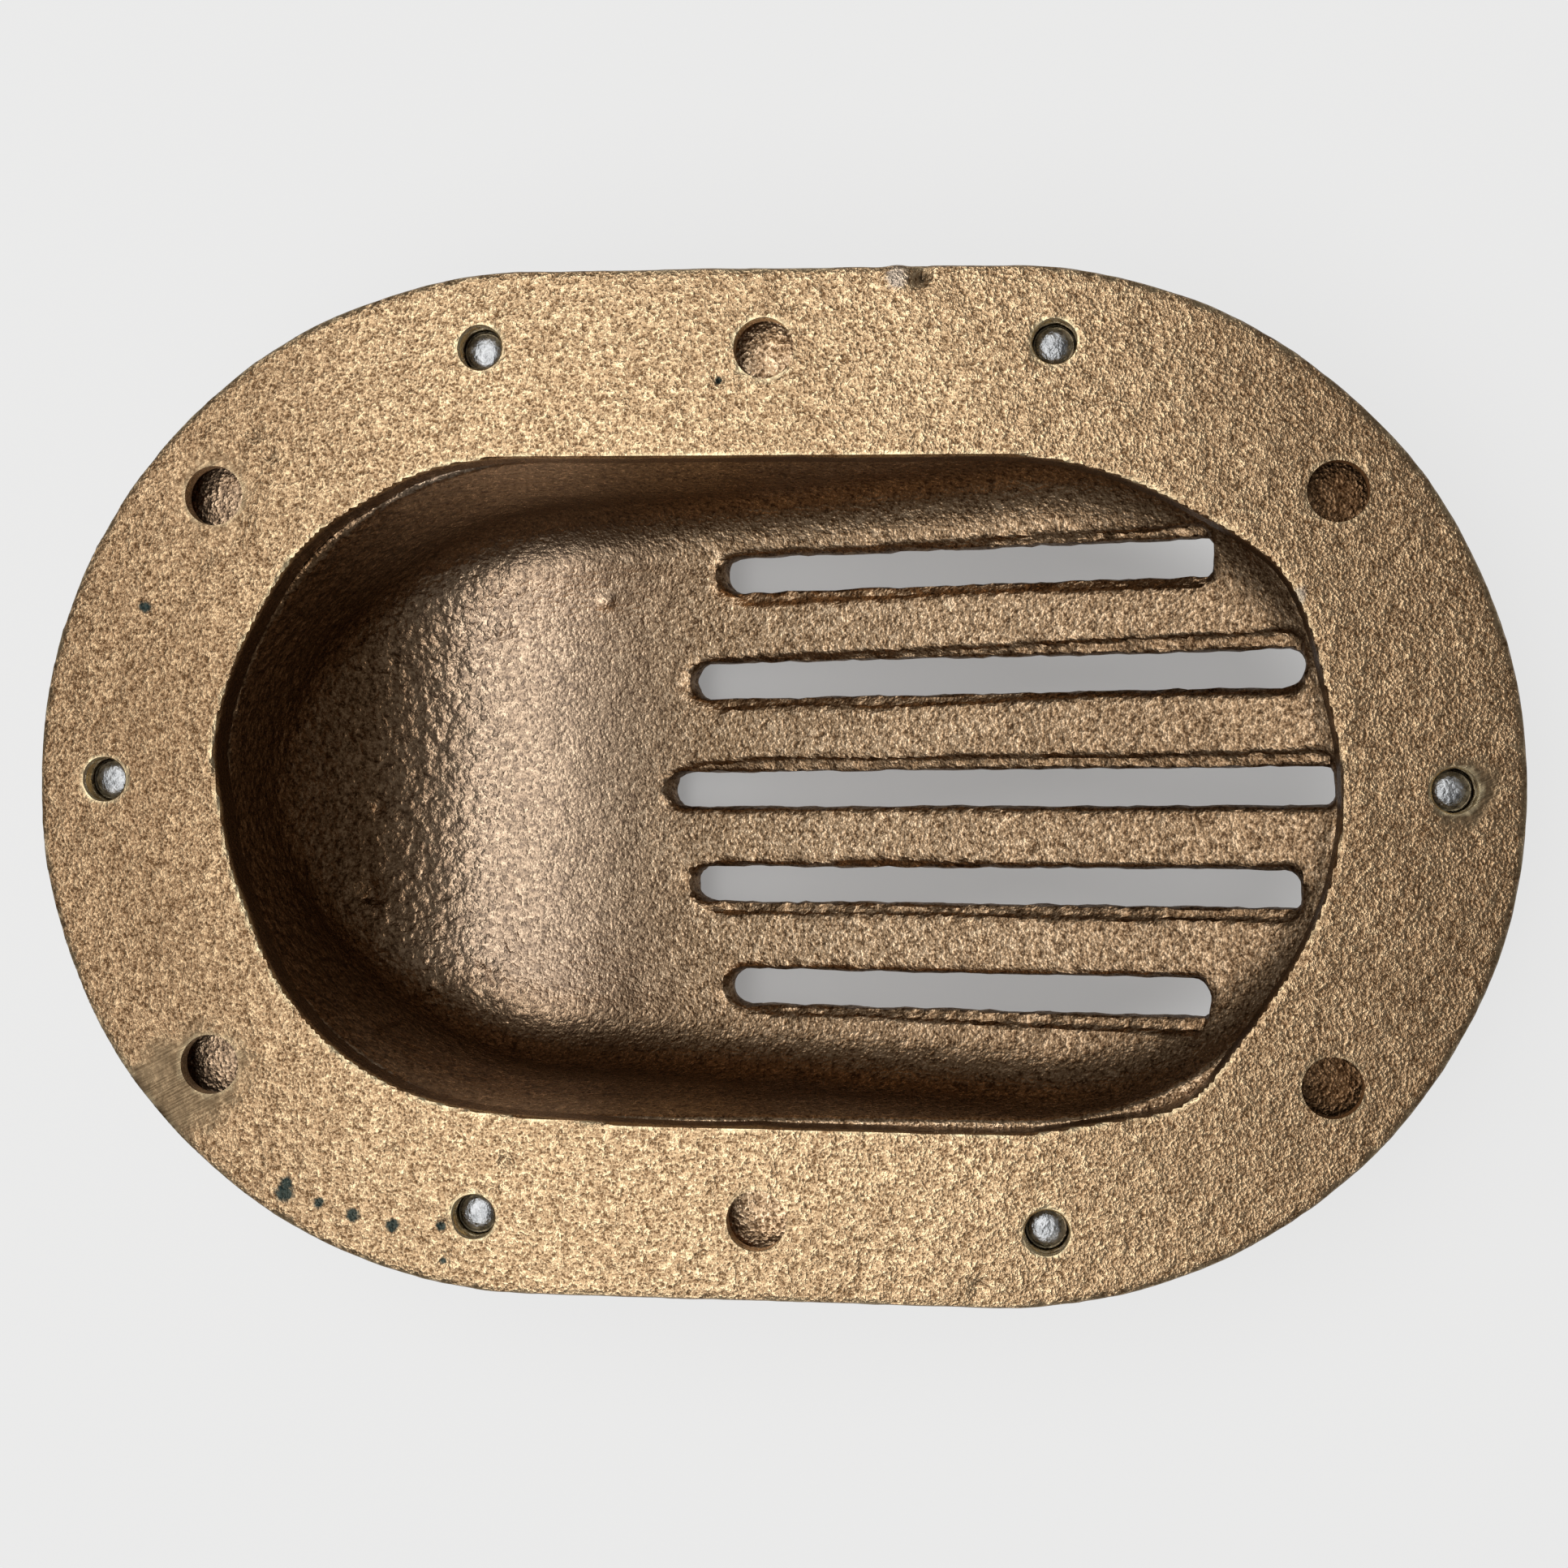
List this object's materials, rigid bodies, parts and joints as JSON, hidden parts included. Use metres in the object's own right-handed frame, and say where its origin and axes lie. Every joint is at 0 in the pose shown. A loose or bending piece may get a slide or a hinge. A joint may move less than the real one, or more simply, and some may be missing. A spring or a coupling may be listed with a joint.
{
  "type": "scoop strainer",
  "caption": "Oval bronze hull strainer: a slotted scoop dome screwed to a flat mounting ring that seats over a raw-water inlet.",
  "frame": {"origin": "middle of the hull fastener holes, on the ring's hull face", "axes": "+Z out of the hull face towards the hull, +X along the flange towards the shallow end of the ramp"},
  "size_m": [0.178, 0.123, 0.038],
  "materials": {
    "cast_bronze_ring": "rough sand-cast golden bronze",
    "cast_bronze_scoop": "rough sand-cast dark bronze",
    "stainless_screw": "plain stainless steel"
  },
  "bodies": {
    "root": {"mounting_ring": "cast_bronze_ring", "scoop": "cast_bronze_scoop", "machine_screw_fore": "stainless_screw", "machine_screw_fore_left": "stainless_screw", "machine_screw_aft_left": "stainless_screw", "machine_screw_aft": "stainless_screw", "machine_screw_aft_right": "stainless_screw", "machine_screw_fore_right": "stainless_screw"}
  },
  "joints": []
}
